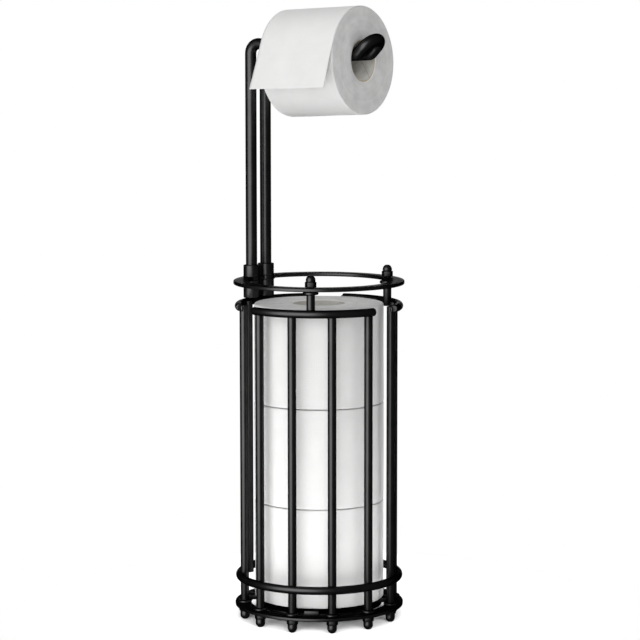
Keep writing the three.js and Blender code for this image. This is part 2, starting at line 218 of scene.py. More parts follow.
PERFORATION_SPACING = 110 * MM
PERFORATION_SHIFT = 13 * MM
CUT_WIDTH, CUT_LENGTH, CUT_SPACING = 0.7 * MM, 2.8 * MM, 4.2 * MM
RING_WANDER = 1.6 * MM  # how far the rings on an end stray from true circles


def tissue_side():
    finish, tree, shader = new_finish("tissue sheet")
    uv = add(tree, "UVMap", uv_map="wound").outputs["UV"]
    place = add(tree, "TexCoord").outputs["Object"]
    cells = add(tree, "TexVoronoi", {"Vector": uv}, Scale=420.0, Randomness=0.35)
    fibres = add(tree, "TexNoise", {"Vector": uv}, Scale=1600.0, Detail=4.0, Roughness=0.7)
    clouds = add(tree, "TexNoise", {"Vector": place}, Scale=45.0, Detail=3.0)
    along = add(tree, "SeparateXYZ", {"Vector": uv})
    # each perforated row is a line of short cuts
    shifted = calc(tree, "ADD", along.outputs["X"], PERFORATION_SHIFT)
    row = calc(tree, "PINGPONG", shifted, PERFORATION_SPACING / 2)
    cut = calc(tree, "LESS_THAN", row, CUT_WIDTH / 2)
    dash = calc(tree, "PINGPONG", along.outputs["Y"], CUT_SPACING / 2)
    dash = calc(tree, "LESS_THAN", dash, CUT_LENGTH / 2)
    holes = calc(tree, "MULTIPLY", cut, dash)
    relief = calc(tree, "MULTIPLY_ADD", fibres.outputs["Fac"], 0.45, cells.outputs["Distance"])
    relief = calc(tree, "MULTIPLY_ADD", holes, -0.8, relief)
    bump(tree, shader, relief, 0.00025, 0.55)
    colour = ramp(tree, clouds.outputs["Fac"], (0.3, (0.885, 0.883, 0.876)),
                  (0.7, (0.925, 0.923, 0.917)))
    tree.links.new(colour, shader.inputs["Base Color"])
    shader.inputs["Roughness"].default_value = 0.95
    shader.inputs["Specular IOR Level"].default_value = 0.2
    shader.inputs["Sheen Weight"].default_value = 0.12
    shader.inputs["Sheen Roughness"].default_value = 0.6
    return finish


def tissue_end():
    finish, tree, shader = new_finish("tissue cut edges")
    uv = add(tree, "UVMap", uv_map="wound").outputs["UV"]
    place = add(tree, "TexCoord").outputs["Object"]
    drift = add(tree, "TexNoise", {"Vector": place}, Scale=35.0, Detail=2.0)
    out = add(tree, "SeparateXYZ", {"Vector": uv})
    wander = calc(tree, "MULTIPLY_ADD", drift.outputs["Fac"], RING_WANDER, out.outputs["X"])
    rings_at = add(tree, "CombineXYZ", {"X": wander})
    rings = add(tree, "TexNoise", {"Vector": rings_at.outputs[0]}, Scale=1900.0, Detail=3.0)
    bands = add(tree, "TexNoise", {"Vector": rings_at.outputs[0]}, Scale=260.0, Detail=2.0)
    fuzz = add(tree, "TexNoise", {"Vector": place}, Scale=1100.0, Detail=4.0, Roughness=0.75)
    clouds = add(tree, "TexNoise", {"Vector": place}, Scale=70.0, Detail=4.0, Roughness=0.6)
    relief = calc(tree, "MULTIPLY_ADD", fuzz.outputs["Fac"], 0.8, rings.outputs["Fac"])
    relief = calc(tree, "MULTIPLY_ADD", bands.outputs["Fac"], 0.7, relief)
    bump(tree, shader, relief, 0.00035, 0.5)
    # painted shade: the tone follows the rings and bands that set the relief, so sunk ones are darker;
    # the clouds are the real patches where the sheets were pressed together
    tone = calc(tree, "MULTIPLY_ADD", bands.outputs["Fac"], 0.45, clouds.outputs["Fac"])
    tone = calc(tree, "MULTIPLY_ADD", rings.outputs["Fac"], 0.25, tone)
    colour = ramp(tree, tone, (0.6, (0.70, 0.70, 0.695)), (1.1, (0.86, 0.858, 0.852)))
    tree.links.new(colour, shader.inputs["Base Color"])
    shader.inputs["Roughness"].default_value = 1.0
    shader.inputs["Specular IOR Level"].default_value = 0.1
    return finish


TISSUE = tissue_side()
TISSUE_END = tissue_end()

# %% [markdown]
# ### Core card
#
# A core is made from narrow strips of grey card wound in a spiral and glued, so its bore shows a
# slanted seam every few centimetres. Its cut ends show the browner middle of the card.

# %% Core card

SEAM_SPACING, SEAM_WIDTH, SEAM_SLANT = 42 * MM, 0.8 * MM, 1.25


def core_card():
    finish, tree, shader = new_finish("core card")
    uv = add(tree, "UVMap", uv_map="wound").outputs["UV"]
    place = add(tree, "TexCoord").outputs["Object"]
    split = add(tree, "SeparateXYZ", {"Vector": uv})
    slant = calc(tree, "MULTIPLY_ADD", split.outputs["Y"], SEAM_SLANT, split.outputs["X"])
    seam = calc(tree, "LESS_THAN", calc(tree, "PINGPONG", slant, SEAM_SPACING / 2), SEAM_WIDTH / 2)
    fibres = add(tree, "TexNoise", {"Vector": place}, Scale=700.0, Detail=4.0, Roughness=0.7)
    clouds = add(tree, "TexNoise", {"Vector": place}, Scale=90.0, Detail=3.0)
    relief = calc(tree, "MULTIPLY_ADD", seam, -1.5, fibres.outputs["Fac"])
    bump(tree, shader, relief, 0.0002, 0.5)
    tone = calc(tree, "MULTIPLY_ADD", fibres.outputs["Fac"], 0.4, clouds.outputs["Fac"])
    tone = calc(tree, "MULTIPLY_ADD", seam, -0.35, tone)
    colour = ramp(tree, tone, (0.3, (0.30, 0.285, 0.255)), (0.62, (0.56, 0.55, 0.51)),
                  (0.9, (0.66, 0.65, 0.61)))
    tree.links.new(colour, shader.inputs["Base Color"])
    shader.inputs["Roughness"].default_value = 0.85
    shader.inputs["Specular IOR Level"].default_value = 0.25
    return finish


def card_edge():
    finish, tree, shader = new_finish("card cut edge")
    place = add(tree, "TexCoord").outputs["Object"]
    plies = add(tree, "TexNoise", {"Vector": place}, Scale=1500.0, Detail=3.0)
    colour = ramp(tree, plies.outputs["Fac"], (0.3, (0.30, 0.22, 0.13)), (0.7, (0.46, 0.36, 0.24)))
    tree.links.new(colour, shader.inputs["Base Color"])
    bump(tree, shader, plies.outputs["Fac"], 0.0002, 0.5)
    shader.inputs["Roughness"].default_value = 0.95
    return finish


CARD = core_card()
CARD_EDGE = card_edge()
print("finishes:", [finish.name for finish in bpy.data.materials])

# %% [markdown]
# ## Modelling helpers
#
# Nearly everything on this object is either turned on a lathe or bent from round bar. A lathe shape
# is a short profile spun about the upright axis. A bar is a disc that is extruded along its straight
# runs and spun round its bends, just as a bending machine feeds and turns the rod. Bevels then
# round every edge that a hand could feel.

# %% From bmesh to a finished piece


SAME_PLACE = 1e-7  # points nearer than this are one point


def finish_piece(bm, name, finishes, body, *stands_for, slot="black_metal", sharp=35):
    """Turns a bmesh into an object that rides on a body and stands for CAD nodes."""
    bmesh.ops.remove_doubles(bm, verts=bm.verts, dist=SAME_PLACE)
    bmesh.ops.recalc_face_normals(bm, faces=bm.faces)
    mesh = bpy.data.meshes.new(name)
    bm.to_mesh(mesh)
    bm.free()
    mesh.shade_smooth()
    mesh.set_sharp_from_angle(angle=math.radians(sharp))
    piece = bpy.data.objects.new(name, mesh)
    scene.collection.objects.link(piece)
    for material in finishes if isinstance(finishes, list) else [finishes]:
        mesh.materials.append(material)
    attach(piece, body)
    if stands_for:
        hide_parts(*stands_for)
    return piece


def sharp_edges(bm, degrees=40):
    return [edge for edge in bm.edges
            if len(edge.link_faces) == 2 and edge.calc_face_angle(0) > math.radians(degrees)]


def soften(bm, width, steps=3, edges=None):
    """Rounds edges, by default all the sharp ones."""
    bmesh.ops.bevel(bm, geom=sharp_edges(bm) if edges is None else edges, offset=width,
                    offset_type="OFFSET", affect="EDGES", segments=steps, profile=0.5,
                    material=-1, clamp_overlap=True)


def moved(bm, place):
    bmesh.ops.translate(bm, verts=bm.verts, vec=place)
    return bm


def turned(profile, steps=48, closed=False):
    """A profile of (radius, height) points spun about the upright axis."""
    bm = bmesh.new()
    points = [bm.verts.new((r, 0, z)) for r, z in profile]
    pairs = list(zip(points, points[1:])) + ([(points[-1], points[0])] if closed else [])
    edges = [bm.edges.new(pair) for pair in pairs]
    bmesh.ops.spin(bm, geom=points + edges, cent=(0, 0, 0), axis=UP, dvec=(0, 0, 0),
                   angle=math.tau, steps=steps, use_merge=True, use_duplicate=False)
    bmesh.ops.remove_doubles(bm, verts=bm.verts, dist=SAME_PLACE)
    bmesh.ops.recalc_face_normals(bm, faces=bm.faces)
    return bm


def pooled(parts):
    """Several bmeshes as one."""
    whole = bmesh.new()
    for part in parts:
        mesh = bpy.data.meshes.new("part")
        part.to_mesh(mesh)
        part.free()
        whole.from_mesh(mesh)
        bpy.data.meshes.remove(mesh)
    return whole


class Bar:
    """A round bar fed from a point in a direction, by straight runs and bends."""

    def __init__(self, start, heading, radius, sides=24):
        self.bm = bmesh.new()
        self.at = Vector(start)
        self.heading = Vector(heading).normalized()
        turn = UP.rotation_difference(self.heading).to_matrix().to_4x4()
        disc = bmesh.ops.create_circle(self.bm, cap_ends=True, segments=sides, radius=radius,
                                       matrix=Matrix.Translation(self.at) @ turn)
        self.end = disc["verts"][0].link_faces[0]
        self.length = 0

    def run(self, length, pieces=1):
        for _ in range(pieces):
            grown = bmesh.ops.extrude_face_region(self.bm, geom=[self.end])["geom"]
            corners = [v for v in grown if isinstance(v, bmesh.types.BMVert)]
            bmesh.ops.translate(self.bm, verts=corners, vec=self.heading * length / pieces)
            self.end = next(f for f in grown if isinstance(f, bmesh.types.BMFace))
        self.at = self.at + self.heading * length
        self.length += length
        return self

    def bend(self, radius, degrees, axis, steps=10):
        """Turns the feed by that angle about an axis, round a circle of that radius."""
        axis = Vector(axis).normalized()
        centre = self.at + axis.cross(self.heading).normalized() * radius * math.copysign(1, degrees)
        angle = math.radians(degrees)
        spun = bmesh.ops.spin(self.bm, geom=[self.end], cent=centre, axis=axis, dvec=(0, 0, 0),
                              angle=angle, steps=steps, use_merge=False, use_duplicate=False)
        self.end = next(f for f in spun["geom_last"] if isinstance(f, bmesh.types.BMFace))
        turn = Matrix.Rotation(angle, 3, axis)
        self.at = centre + turn @ (self.at - centre)
        self.heading = turn @ self.heading
        self.length += abs(angle) * radius
        return self

    def finished(self, end_round=0.0):
        """The bar's bmesh, with both cut ends rounded over."""
        bmesh.ops.recalc_face_normals(self.bm, faces=self.bm.faces)
        if end_round:
            caps = [f for f in self.bm.faces if len(f.verts) > 4]
            soften(self.bm, end_round, 4, [edge for cap in caps for edge in cap.edges])
        return self.bm


# %% [markdown]
# ## The basket's rings
#
# The base ring and the top ring are flat bands cut from plate. Cut plate has square edges, but the
# coat and the deburring before it leave them rounded by about half a millimetre, which shows as a
# thin line of light. Each is a rectangle spun round the axis and bevelled.

# %% Flat rings

RING_STEPS = 160
RING_EDGE = {"base_ring": 0.6 * MM, "top_ring": 0.9 * MM}


def flat_ring(node):
    r, z0, z1 = radius_of(node), low(node).z, high(node).z
    inner = RING_INNER_R[node]
    bm = turned([(inner, z0), (r, z0), (r, z1), (inner, z1)], steps=RING_STEPS, closed=True)
    soften(bm, RING_EDGE[node])
    return bm


for node in RING_EDGE:
    plate = finish_piece(flat_ring(node), f"{node}_plate", BLACK, "basket", node)
    print(f"{node}: {len(plate.data.polygons)} faces")

# %% [markdown]
# The lower ring is round wire, bent into a hoop and butt-welded. A disc spun through a full turn
# makes it. The three upper arcs are shorter lengths of the same wire, one over each panel of four
# rods, and their sawn ends are rounded over before coating.

# %% Round wire: the lower hoop and three arcs

WIRE_SIDES = 20


def wire_hoop(node):
    bm = bmesh.new()
    circle_r = radius_of(node) - WIRE_R
    upright = Matrix.Translation((circle_r, 0, middle(node).z)) @ Matrix.Rotation(math.pi / 2, 4, "X")
    disc = bmesh.ops.create_circle(bm, cap_ends=False, segments=WIRE_SIDES, radius=WIRE_R,
                                   matrix=upright)
    loop = disc["verts"] + list(bm.edges)
    bmesh.ops.spin(bm, geom=loop, cent=(0, 0, 0), axis=UP, dvec=(0, 0, 0), angle=math.tau,
                   steps=RING_STEPS, use_merge=True, use_duplicate=False)
    return bm


def towards(azimuth):
    """The level direction of an azimuth: 0 is the front and 90 the right-hand side."""
    turn = math.radians(azimuth)
    return Vector((math.sin(turn), -math.cos(turn), 0))


def azimuth_of(place):
    return math.degrees(math.atan2(place.x, -place.y))


ROD_CIRCLE_R = middle("rod_01").xy.length
WIRE_CIRCLE_R = radius_of("lower_wire_ring") - WIRE_R
ARC_OVERRUN = 2.7  # degrees that an arc goes on past its last rods
ARC_PANELS = {"front_arc": ("rod_01", "rod_04"), "right_arc": ("rod_05", "rod_08"),
              "left_arc": ("rod_09", "rod_12")}


def wire_arc(node):
    first, last = (azimuth_of(middle(rod)) for rod in ARC_PANELS[node])
    start, sweep = first - ARC_OVERRUN, (last - first) % 360 + 2 * ARC_OVERRUN
    place = towards(start) * WIRE_CIRCLE_R + UP * middle(node).z
    bar = Bar(place, towards(start + 90), WIRE_R, sides=WIRE_SIDES)
    return bar.bend(WIRE_CIRCLE_R, sweep, UP, steps=48).finished(end_round=1.6 * MM)


finish_piece(wire_hoop("lower_wire_ring"), "lower_hoop", BLACK, "basket", "lower_wire_ring")
for node in ARC_PANELS:
    finish_piece(wire_arc(node), f"{node}_wire", BLACK, "basket", node)
print(f"hoop and arcs: wire of {2 * WIRE_R / MM:.1f} mm, {WIRE_CIRCLE_R / MM:.1f} mm from the axis")

# %% [markdown]
# ## Rods, studs, flanges and cap nuts
#
# Each rod is plain bar with a turned foot: a flange stands on the base ring and a thinner thread
# goes through it into a cap nut, which is what the basket stands on. Two short studs lift the top
# ring in the same way. The rods are cylinders with rounded ends. The threads are never seen, so
# they stay in the frame only.

# %% Rods and studs


def round_bar(node, bottom, top):
    return moved(Bar((0, 0, bottom), UP, ROD_R, sides=28).run(top - bottom).finished(0.5 * MM),
                 Vector((middle(node).x, middle(node).y, 0)))


RODS = [f"rod_{i:02d}" for i in range(1, 13)]
FOOTED_RODS = [rod for rod in RODS if f"flange_of_{rod}" in frame["nodes"]]
for rod in RODS:
    bottom = high(f"flange_of_{rod}").z if rod in FOOTED_RODS else low(rod).z
    finish_piece(round_bar(rod, bottom, high(rod).z), f"{rod}_bar", BLACK, "basket", rod)
for side in ("front", "right"):
    top = low(f"{side}_stud_flange").z
    finish_piece(round_bar(f"{side}_stud", low(f"{side}_stud").z, top), f"{side}_stud_bar",
                 BLACK, "basket", f"{side}_stud")
print("rods:", len(RODS), "of which", len(FOOTED_RODS), "reach the base ring")

# %% [markdown]
# A flange is a small turned disc. The foot flanges are rounded like a shallow bun, widest at the
# middle of their height. The flanges under the top ring are flatter.

# %% Flanges

FOOT_FLANGE_EDGE, STUD_FLANGE_EDGE = 1.3 * MM, 1.0 * MM


def flange(node, edge):
    r, z0, z1 = radius_of(node), low(node).z, high(node).z
    bm = turned([(0, z0), (r, z0), (r, z1), (0, z1)], steps=40)
    soften(bm, edge, 4)
    return moved(bm, Vector((middle(node).x, middle(node).y, 0)))


for rod in FOOTED_RODS:
    node = f"flange_of_{rod}"
    finish_piece(flange(node, FOOT_FLANGE_EDGE), f"foot_{node}", BLACK, "basket", node)
for side in ("front", "right"):
    node = f"{side}_stud_flange"
    finish_piece(flange(node, STUD_FLANGE_EDGE), f"{side}_ring_flange", BLACK, "basket", node)

# %% [markdown]
# A cap nut is forged: a chamfered hexagon, a narrow neck and a dome over the end of the thread. The
# hexagon is a circle of six segments, extruded and bevelled. The dome is a short profile spun about
# the axis. Both overlap inside, where nothing shows.

# %% Cap nuts

NUT_FLAT_R = 1.9 * MM  # the small flat on the tip of the dome
NUT_DOME_R = 4.9 * MM
FOOT_HEX, STUD_HEX = 4.9 * MM, 5.6 * MM  # heights of the hexagons
DOME_STEPS = 9


def cap_nut(node, hex_height, flip=False):
    r, height, dome_r = radius_of(node), height_of(node), NUT_DOME_R
    bm = bmesh.new()
    disc = bmesh.ops.create_circle(bm, cap_ends=True, segments=6, radius=r,
                                   matrix=Matrix.Rotation(math.radians(90), 4, "Z"))
    grown = bmesh.ops.extrude_face_region(bm, geom=disc["verts"][0].link_faces[:])["geom"]
    corners = [v for v in grown if isinstance(v, bmesh.types.BMVert)]
    bmesh.ops.translate(bm, verts=corners, vec=UP * hex_height)
    bmesh.ops.recalc_face_normals(bm, faces=bm.faces)
    soften(bm, 0.55 * MM, 3)
    centre_z = height - dome_r
    curve = [(0, hex_height * 0.5), (dome_r * 0.93, hex_height * 0.5), (dome_r * 0.93, hex_height),
             (dome_r, hex_height + 0.5 * MM)]
    flat_angle = math.acos(NUT_FLAT_R / dome_r)
    for i in range(DOME_STEPS + 1):
        angle = flat_angle * i / DOME_STEPS
        rise = math.sin(angle) / math.sin(flat_angle) * dome_r
        curve.append((dome_r * math.cos(angle), centre_z + rise))
    curve.append((0, height))
    bm = pooled([bm, turned(curve, steps=32)])
    if flip:
        bmesh.ops.rotate(bm, verts=bm.verts, cent=(0, 0, 0), matrix=Matrix.Rotation(math.pi, 3, "X"))
    foot = high(node).z if flip else low(node).z
    return moved(bm, Vector((middle(node).x, middle(node).y, foot)))


for rod in FOOTED_RODS:
    node = f"foot_of_{rod}"
    finish_piece(cap_nut(node, FOOT_HEX, flip=True), f"{rod}_foot_nut", BLACK, "basket", node)
for side in ("front", "right"):
    node = f"{side}_cap_nut"
    finish_piece(cap_nut(node, STUD_HEX), f"{side}_ring_nut", BLACK, "basket", node)
print("cap nuts:", len(FOOTED_RODS) + 2)

# %% [markdown]
# ## Sleeves and welds
#
# The two sleeves are lengths of tube that stand on the left arc and pass through the top ring. They
# hold the legs of the arm. Their rims are turned round. Welds are hardly seen under the coat: they
# are a soft fillet where the sleeve meets the ring, and a flattened bead on each side of a rod where
# a wire crosses it.

# %% Sleeves


def sleeve(node):
    r, z0, z1 = radius_of(node), low(node).z, high(node).z
    bore = POST_R + SLIDE_GAP
    bm = turned([(bore, z0), (r, z0), (r, z1), (bore, z1)], steps=48, closed=True)
    soften(bm, 0.75 * MM, 4)
    return moved(bm, Vector((middle(node).x, middle(node).y, 0)))


SLEEVES = ("rear_sleeve", "front_sleeve")
for node in SLEEVES:
    finish_piece(sleeve(node), f"{node}_tube", BLACK, "basket", node)

# %% Welds

BEAD_SIZE = (1.1 * MM, 1.6 * MM, 3.4 * MM)
BEAD_OUT = 2.1 * MM  # from a rod's axis towards the wire
ARC_BEAD_DROP = 1.2 * MM
FILLET_SIZE = 1.3 * MM


def weld_fillet(centre, r, z, side, size):
    """A ring with a hollowed corner section, between an upright tube and a level plate."""
    hollow = [(r - 0.3 * MM, z - side * 0.2 * MM), (r + size, z - side * 0.2 * MM),
              (r + size, z), (r + size * 0.42, z + side * size * 0.14),
              (r + size * 0.14, z + side * size * 0.42), (r, z + side * size),
              (r - 0.3 * MM, z + side * size)]
    return moved(turned(hollow, steps=40, closed=True), Vector((centre.x, centre.y, 0)))


def weld_bead(place, along, across, size):
    """A bead of weld metal: a ball pressed into a long, flat drop."""
    bm = bmesh.new()
    bmesh.ops.create_icosphere(bm, subdivisions=3, radius=1)
    bmesh.ops.scale(bm, verts=bm.verts, vec=size)
    frame_of = Matrix((across, along.cross(across), along)).transposed()
    bmesh.ops.rotate(bm, verts=bm.verts, cent=(0, 0, 0), matrix=frame_of)
    return moved(bm, place)


def crossing_beads(rod, z):
    """Two beads, one on each side of a rod, where a level wire passes outside it."""
    out = Vector((middle(rod).x, middle(rod).y, 0)).normalized()
    side = UP.cross(out)
    place = out * (ROD_CIRCLE_R + BEAD_OUT) + UP * z
    return [weld_bead(place + side * sign * (ROD_R - 0.3 * MM), UP, side, BEAD_SIZE)
            for sign in (-1, 1)]


beads = []
for rod in RODS:
    beads += crossing_beads(rod, middle("lower_wire_ring").z)
    beads += crossing_beads(rod, middle("front_arc").z - ARC_BEAD_DROP)
for node in SLEEVES:
    for z, side in ((high("top_ring").z, 1), (low("top_ring").z, -1)):
        beads.append(weld_fillet(middle(node), radius_of(node), z, side, FILLET_SIZE))
welds = finish_piece(pooled(beads), "weld_beads", BLACK, "basket")
print("welds:", len(beads), "beads,", len(welds.data.polygons), "faces")

# %% [markdown]
# ## The seat
#
# The spare rolls stand on two flat bars that cross on the base ring. A thin disc with a round hole
# closes the bottom under them, level with the ring. Both are seen only edge on between the rods, so
# plain plate with eased edges is enough.

# %% Seat

SEAT_HOLE_R = 18 * MM
BAR_WIDTH = 15 * MM
BAR_REACH = 75.03 * MM
CROSSING_EASE = 0.04 * MM  # one bar is this much thinner, so that no two faces lie in one plane
SEAT_AZIMUTH = azimuth_of(middle("front_stud"))


def seat_disc():
    r, z0, z1 = radius_of("seat_disc"), low("seat_disc").z, high("seat_disc").z
    bm = turned([(SEAT_HOLE_R, z0), (r, z0), (r, z1), (SEAT_HOLE_R, z1)], steps=96, closed=True)
    soften(bm, 0.5 * MM)
    return bm


def seat_bar(azimuth, thinner=0.0):
    bm = bmesh.new()
    bmesh.ops.create_cube(bm, size=1)
    height = height_of("seat_cross") - thinner
    bmesh.ops.scale(bm, verts=bm.verts, vec=(BAR_WIDTH, 2 * BAR_REACH, height))
    bmesh.ops.rotate(bm, verts=bm.verts, cent=(0, 0, 0),
                     matrix=Matrix.Rotation(math.radians(azimuth), 3, "Z"))
    soften(bm, 0.4 * MM)
    return moved(bm, UP * middle("seat_cross").z)


finish_piece(seat_disc(), "seat_plate", BLACK, "basket", "seat_disc")
cross = [seat_bar(SEAT_AZIMUTH), seat_bar(SEAT_AZIMUTH + 90, thinner=CROSSING_EASE)]
finish_piece(pooled(cross), "seat_bars", BLACK, "basket", "seat_cross")

# %% [markdown]
# ## The hairpin arm
#
# One long bar makes both legs, both sides of the arm and its tip. It is bent in one plane and then
# folded over at the tip, so the fastest way to model it is the way it is made: feed a disc straight
# up, bend it over, let it down through the neck behind the roll, run along under the roll's top,
# turn the tip up, fold round, and come back through the same bends in the other order.

# %% Arm sizes

LEG_TOP = 584.9 * MM
OVER_R, NECK_R, TIP_R = 10 * MM, 16.5 * MM, 7.7 * MM
NECK_TURN, ARM_RISE, TIP_TURN = 55.8, 2.4, 42.4
ARM_RUN, TIP_RUN = 92.8 * MM, 6.5 * MM

spin_axis = Vector(joints["roll_spin"]["axis"])
arm_forward = Vector((spin_axis.x, spin_axis.y, 0)).normalized()
arm_side = arm_forward.cross(UP)  # points to the side where the paper hangs down

# %% Arm


def hairpin():
    posts = sorted((middle(node) for node in SLEEVES), key=lambda place: place.dot(arm_side))
    foot = Vector((posts[1].x, posts[1].y, low("hairpin_arm").z))
    bar = Bar(foot, UP, POST_R, sides=32)
    pitch = UP.cross(arm_forward)  # turning about it lowers the heading
    leg = LEG_TOP - foot.z
    bar.run(leg, 4).bend(OVER_R, 90, pitch, 14)
    bar.bend(NECK_R, NECK_TURN, pitch, 12).bend(NECK_R, -(NECK_TURN + ARM_RISE), pitch, 12)
    bar.run(ARM_RUN, 4).bend(TIP_R, -TIP_TURN, pitch, 10).run(TIP_RUN)
    fold = bar.heading.cross(arm_side)
    bar.bend(POST_SPACING / 2, -180, fold, 28)
    bar.run(TIP_RUN).bend(TIP_R, TIP_TURN, pitch, 10).run(ARM_RUN, 4)
    bar.bend(NECK_R, NECK_TURN + ARM_RISE, pitch, 12).bend(NECK_R, -NECK_TURN, pitch, 12)
    bar.bend(OVER_R, -90, pitch, 14).run(leg, 4)
    apart = (bar.at - foot).length
    print(f"arm: {bar.length / MM:.0f} mm of bar, its ends {apart / MM:.2f} mm apart")
    return bar.finished(0.8 * MM)


finish_piece(hairpin(), "hairpin_bar", BLACK, "arm", "hairpin_arm")

# %% [markdown]
# ## Paper rolls
#
# A roll is wound tight but it is soft. Its side is almost straight, with slow swellings of a
# fraction of a millimetre; its ends are nearly flat, with a few rings that stand out or sink; and
# its outer edge is rounded by handling. The shape starts as a rectangle spun about the axis. Its
# rims are rounded with a bevel, and then noise moves each point a little in or out. The UV map is
# written while the roll still stands upright at the origin, where its winding is easy to measure.

# %% Wound rolls

ROLL_EDGE = 1.4 * MM  # radius of a roll's outer rims
SIDE_STEPS, END_STEPS = 22, 16
BORE_EDGE = 0.3 * MM
END_SLOPE = 0.75  # faces that point along the axis more than this belong to an end
CARD_INSET, CARD_EDGE_R = 0.9 * MM, 0.25 * MM


def rounded_section(r_in, r_out, width, edge):
    """Profile points of a roll's wall, from the bottom of the bore round to its top."""
    side = [(r_out, edge + (width - 2 * edge) * i / SIDE_STEPS) for i in range(SIDE_STEPS + 1)]
    corner = [(r_out - edge * (1 - math.sin(a)), width - edge * (1 - math.cos(a)))
              for a in (math.radians(90 - 15 * k) for k in range(1, 6))]
    top = [(r_out - edge + (r_in + BORE_EDGE - r_out + edge) * i / END_STEPS, width)
           for i in range(END_STEPS + 1)]
    upper = side[SIDE_STEPS // 2:] + corner + top + [(r_in, width - BORE_EDGE)]
    lower = [(r, width - z) for r, z in reversed(upper)]
    return lower + upper[1:]


def wound_uv(bm, r_out):
    """A map in metres: along and across the sheet on the side, outwards and round on the ends."""
    layer = bm.loops.layers.uv.new("wound")
    for face in bm.faces:
        face.normal_update()
        centre = face.calc_center_median()
        face_turn = math.atan2(centre.y, centre.x)
        for loop in face.loops:
            place = loop.vert.co
            turn = math.atan2(place.y, place.x)
            turn += math.tau * round((face_turn - turn) / math.tau)
            if abs(face.normal.z) > 0.7:
                loop[layer].uv = (place.xy.length, turn * 0.02)
            else:
                loop[layer].uv = (turn * r_out, place.z)


def uneven(bm, r_out, width, seed):
    """Slow swellings on the side and faint rings and dips on the ends."""
    shift = Vector((seed * 7.3, seed * 3.1, seed * 1.7))
    for vert in bm.verts:
        r = vert.co.xy.length
        out = Vector((vert.co.x, vert.co.y, 0)) / r
        if r > r_out - 3 * MM:
            swell = noise.noise(out * 1.6 + UP * vert.co.z * 22 + shift)
            vert.co += out * (swell - 0.35) * 0.35 * MM
        if abs(vert.co.z - width / 2) > width / 2 - 2 * MM:
            inwards = 1 if vert.co.z < width / 2 else -1
            ring = noise.noise(Vector((r * 160, 0, 0)) + out * 0.5 + shift)
            dip = noise.noise(out * 1.3 + UP * r * 30 + shift * 2)
            vert.co.z += inwards * (0.30 + 0.22 * ring + 0.25 * dip) * MM


def mark_ends(bm):
    """Gives the faces of both ends the second finish of their piece."""
    for face in bm.faces:
        face.material_index = 1 if abs(face.normal.z) > END_SLOPE else 0


def wound_roll(r_in, r_out, width, seed):
    bm = turned(rounded_section(r_in, r_out, width, ROLL_EDGE), steps=144, closed=True)
    wound_uv(bm, r_out)
    mark_ends(bm)
    uneven(bm, r_out, width, seed)
    return bm


def core_tube(r_in, width):
    z0, z1 = CARD_INSET, width - CARD_INSET
    bm = turned([(r_in, z0), (r_in + CORE_WALL, z0), (r_in + CORE_WALL, z1), (r_in, z1)],
                steps=96, closed=True)
    wound_uv(bm, r_in)
    mark_ends(bm)
    soften(bm, CARD_EDGE_R, 2)
    return bm


# %% Spare rolls

ROLL_TURN = 70  # degrees from one roll's seams to the next one's

for seed, level in enumerate(("bottom", "middle", "top"), start=1):
    roll_node, core_node = f"{level}_spare_roll", f"{level}_spare_core"
    place = UP * low(roll_node).z
    roll = wound_roll(SPARE_BORE_R + CORE_WALL, radius_of(roll_node), height_of(roll_node), seed)
    bmesh.ops.rotate(roll, verts=roll.verts, cent=(0, 0, 0),
                     matrix=Matrix.Rotation(math.radians(ROLL_TURN * seed), 3, "Z"))
    finish_piece(moved(roll, place), f"{level}_wound_roll", [TISSUE, TISSUE_END], f"{level}_roll",
                 roll_node, slot="tissue_paper", sharp=60)
    core = core_tube(SPARE_BORE_R, height_of(roll_node))
    finish_piece(moved(core, place), f"{level}_card_core", [CARD, CARD_EDGE], f"{level}_roll",
                 core_node, slot="core_cardboard")
    across = 2 * radius_of(roll_node)
    print(f"{level} roll: {across / MM:.0f} mm across, {height_of(roll_node) / MM:.0f} mm wide")

# %% [markdown]
# The roll in use is built upright too, and then laid along the arm. Its matrix has the axis of the
# spin joint as its third column, so it lies exactly where it turns.

# %% Roll in use

spin_point = Vector(joints["roll_spin"]["pos_m"])
roll_back = -spin_axis  # from the arm's tip towards the posts
roll_up = arm_side.cross(spin_axis)
LAID = Matrix.Translation(spin_point + spin_axis * HUNG_WIDTH / 2) @ Matrix(
    (arm_side, roll_up, roll_back)).transposed().to_4x4()


def laid(bm):
    """From upright at the origin to its place along the arm."""
    bmesh.ops.transform(bm, matrix=LAID, verts=bm.verts)
    return bm


hung = wound_roll(HUNG_BORE_R + CORE_WALL, HUNG_R, HUNG_WIDTH, seed=5)
finish_piece(laid(hung), "hung_wound_roll", [TISSUE, TISSUE_END], "roll_in_use", "hung_roll",
             slot="tissue_paper", sharp=60)
core = finish_piece(laid(core_tube(HUNG_BORE_R, HUNG_WIDTH)), "hung_card_core", [CARD, CARD_EDGE],
                    "roll_in_use", "hung_core", slot="core_cardboard")

# %% [markdown]
# ## The loose end of the paper
#
# The last sheet lies on the roll for a stretch, leaves it in a straight line and hangs down. It is
# one thin sheet: a grid of the sheet's real size, wrapped round the roll by moving its points, with
# a few faint waves where nothing holds it flat. A Solidify modifier gives it the thickness of tissue.

# %% Loose end

SHEET_WIDTH, SHEET_MARGIN = HUNG_WIDTH - 0.6 * MM, 0.3 * MM
SHEET_THICKNESS = 0.25 * MM
SHEET_LIFT = 0.45 * MM  # over the roll's side, where the sheet lies on it
SHEET_SINK = -0.35 * MM  # under it, where the sheet comes out of the winding
WRAP, MERGE, LEAVES_AT = 85, 30, 25  # degrees round the roll
DROP = 53.2 * MM
WRAP_LENGTH = math.radians(WRAP) * (HUNG_R + SHEET_LIFT)
TWIST = 2.0 * MM  # how much nearer to the roll the corner at the arm's tip hangs


